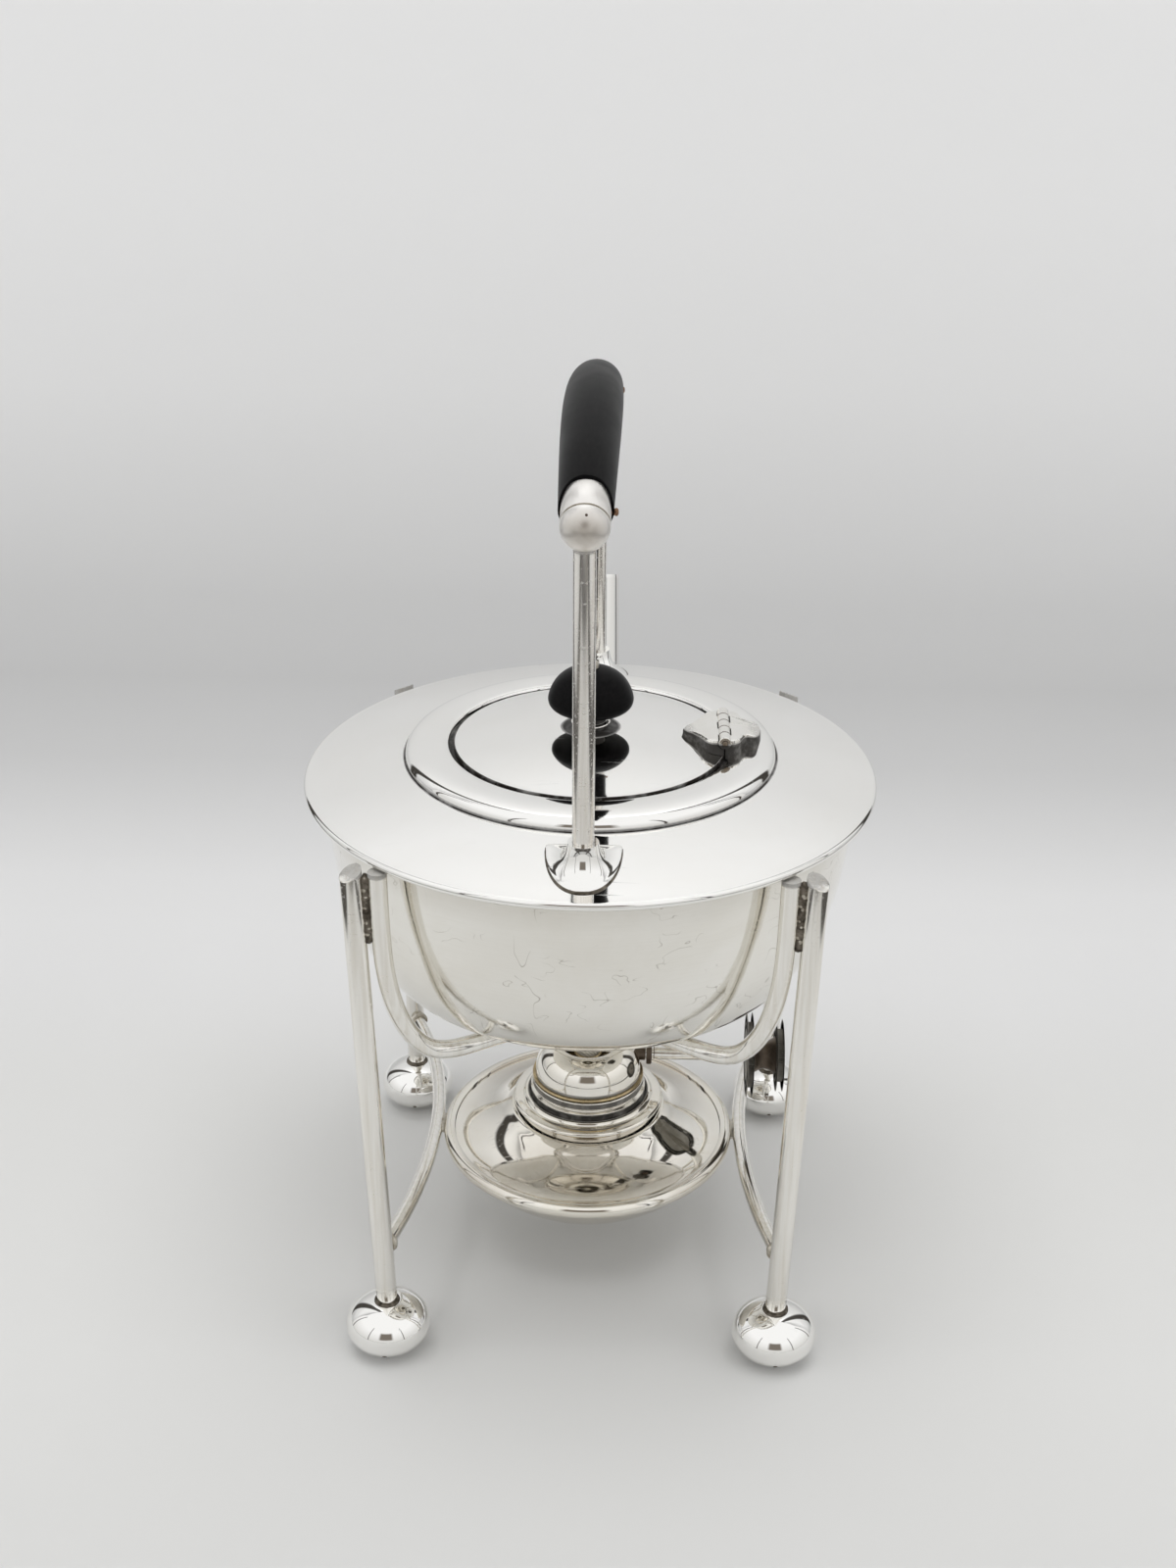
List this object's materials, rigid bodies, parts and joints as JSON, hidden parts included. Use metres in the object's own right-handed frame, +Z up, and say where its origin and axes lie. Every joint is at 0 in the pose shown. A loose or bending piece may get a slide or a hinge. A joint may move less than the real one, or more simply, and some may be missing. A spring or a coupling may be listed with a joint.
{
  "type": "spirit kettle on stand",
  "caption": "Silver-plated spirit kettle with an arched black handle and a hinged lid, resting on a ball-footed stand over a spirit lamp with a winding burner.",
  "frame": {"origin": "on the resting plane under the feet, at the centre of the bounding box", "axes": "+Z up, +Y towards the spout, +X towards the lid hinge and the burner's winding wheel"},
  "size_m": [0.19, 0.218, 0.3154],
  "materials": {
    "silver": "polished silver plate",
    "brushed_silver": "finely brushed silver plate",
    "brass": "satin brass",
    "bronze": "dark toned brass",
    "copper": "tarnished copper rivet",
    "black_wood": "matt ebonised wood",
    "cotton": "woven cotton wick"
  },
  "bodies": {
    "stand": {"leg_front_left": "silver", "leg_front_right": "silver", "leg_rear_left": "silver", "leg_rear_right": "silver", "foot_front_left": "silver", "foot_front_right": "silver", "foot_rear_left": "silver", "foot_rear_right": "silver", "cradle_bar_front": "silver", "cradle_bar_rear": "silver", "side_bow_left": "silver", "side_bow_right": "silver", "lamp_reservoir": "silver", "lamp_top": "silver", "lamp_collar": "silver"},
    "burner_screw": {"burner_ring": "bronze"},
    "burner": {"burner_gallery": "brass", "burner_dome": "silver", "wick_tube": "brass", "winder_bush": "bronze", "winder_gland": "bronze"},
    "winder": {"winder_spindle": "bronze", "winder_sprocket": "brass", "winder_disc_inner": "bronze", "winder_hub": "bronze", "winder_disc_outer": "bronze"},
    "wick_feed": {"wick": "cotton"},
    "kettle": {"kettle_bowl": "brushed_silver", "shoulder_plate": "silver", "lid_moulding": "silver", "spout": "silver", "post_foot_front": "silver", "post_foot_rear": "silver", "handle_post_front": "silver", "handle_post_rear": "silver", "ferrule_front": "silver", "ferrule_rear": "silver", "handle_grip": "black_wood", "grip_pin_front": "copper", "grip_pin_rear": "copper", "hinge_leaf_body": "silver", "hinge_pin": "silver"},
    "lid_group": {"lid": "silver", "hinge_leaf_lid": "silver", "knob_collar": "silver", "lid_knob": "black_wood", "knob_stud": "silver", "knob_nut": "silver"}
  },
  "joints": [
    {"name": "kettle_lift", "type": "slide", "parent": "stand", "child": "kettle", "axis": [0, 0, 1], "range_m": [0, 0.1]},
    {"name": "lid_hinge", "type": "hinge", "parent": "kettle", "child": "lid_group", "pos_m": [0.044, -0.01395, 0.19931], "axis": [0, 1, 0], "range_deg": [0, 110]},
    {"name": "burner_lift", "type": "slide", "parent": "stand", "child": "burner_screw", "axis": [0, 0, 1], "range_m": [0, 0.003]},
    {"name": "burner_unscrew", "type": "hinge", "parent": "burner_screw", "child": "burner", "pos_m": [0, -0.01395, 0.056], "axis": [0, 0, 1], "range_deg": [0, 540]},
    {"name": "winder_turn", "type": "hinge", "parent": "burner", "child": "winder", "pos_m": [0, -0.00705, 0.06749], "axis": [-1, 0, 0], "range_deg": [-120, 120]},
    {"name": "wick_raise", "type": "slide", "parent": "burner", "child": "wick_feed", "axis": [0, 0, 1], "range_m": [-0.00505, 0.00505]}
  ],
  "couplings": [
    {"joint": "burner_lift", "follows": "burner_unscrew", "m_per_rad": 0.00031831},
    {"joint": "wick_raise", "follows": "winder_turn", "m_per_rad": 0.0024}
  ]
}
